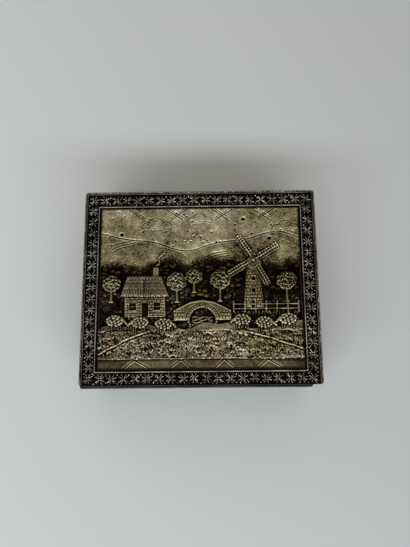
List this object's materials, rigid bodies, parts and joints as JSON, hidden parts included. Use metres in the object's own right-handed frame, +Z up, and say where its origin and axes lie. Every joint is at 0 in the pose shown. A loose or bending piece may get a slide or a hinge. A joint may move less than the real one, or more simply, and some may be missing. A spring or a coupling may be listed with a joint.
{
  "type": "repousse metal box",
  "caption": "Hinged keepsake box: a cedar-lined wooden box clad in embossed plate, its lid framed by a star border round a picture plaque in relief.",
  "frame": {"origin": "on the table under the middle of the box, at the middle of its base", "axes": "+X to the right along the longer side, +Y to the hinged back, +Z up through the lid"},
  "size_m": [0.1142, 0.1011, 0.0456],
  "materials": {
    "plated_border": "silver plate, oxidised dark in the hollows and rubbed bright on the high ornament",
    "plated_sides": "silver plate, oxidised dark in the hollows and rubbed bright on the high ornament",
    "gilded_picture": "warm worn gilding over silver plate, dark in the deep hollows and bright on the raised figures",
    "lip_metal": "plain worn silver plate",
    "hinge_brass": "worn satin brass",
    "pin_brass": "worn bright brass heads",
    "walnut": "oiled close-grained wood",
    "cedar": "bare planed cedar",
    "velvet": "short-pile velvet",
    "baize": "felted baize"
  },
  "bodies": {
    "body": {"bottom_board": "walnut", "front_board": "walnut", "back_board": "walnut", "left_board": "walnut", "right_board": "walnut", "liner_front": "cedar", "liner_back": "cedar", "liner_left": "cedar", "liner_right": "cedar", "floor_pad": "velvet", "base_baize": "baize", "front_plate": "plated_sides", "back_plate": "plated_sides", "left_plate": "plated_sides", "right_plate": "plated_sides", "plate_nail_front_1": "pin_brass", "plate_nail_front_2": "pin_brass", "plate_nail_back_1": "pin_brass", "plate_nail_back_2": "pin_brass", "plate_nail_left_1": "pin_brass", "plate_nail_left_2": "pin_brass", "plate_nail_right_1": "pin_brass", "plate_nail_right_2": "pin_brass", "hinge_leaf_body_left": "hinge_brass", "hinge_leaf_body_right": "hinge_brass", "hinge_pin_left": "hinge_brass", "hinge_pin_right": "hinge_brass", "screw_body_left_1": "hinge_brass", "screw_body_left_2": "hinge_brass", "screw_body_right_1": "hinge_brass", "screw_body_right_2": "hinge_brass"},
    "lid": {"lid_board": "walnut", "lid_rim_front": "walnut", "lid_rim_back": "walnut", "lid_rim_left": "walnut", "lid_rim_right": "walnut", "lid_lining": "cedar", "lid_frame": "plated_border", "picture_panel": "gilded_picture", "finger_lip": "lip_metal", "skirt_nail_front_1": "pin_brass", "skirt_nail_front_2": "pin_brass", "skirt_nail_back_1": "pin_brass", "skirt_nail_back_2": "pin_brass", "skirt_nail_left_1": "pin_brass", "skirt_nail_left_2": "pin_brass", "skirt_nail_right_1": "pin_brass", "skirt_nail_right_2": "pin_brass", "hinge_leaf_lid_left": "hinge_brass", "hinge_leaf_lid_right": "hinge_brass", "screw_lid_left_1": "hinge_brass", "screw_lid_left_2": "hinge_brass", "screw_lid_right_1": "hinge_brass", "screw_lid_right_2": "hinge_brass"}
  },
  "joints": [
    {"name": "lid_hinge", "type": "hinge", "parent": "body", "child": "lid", "pos_m": [0, 0.04942, 0.03115], "axis": [-1, 0, 0], "range_deg": [0, 105]}
  ]
}
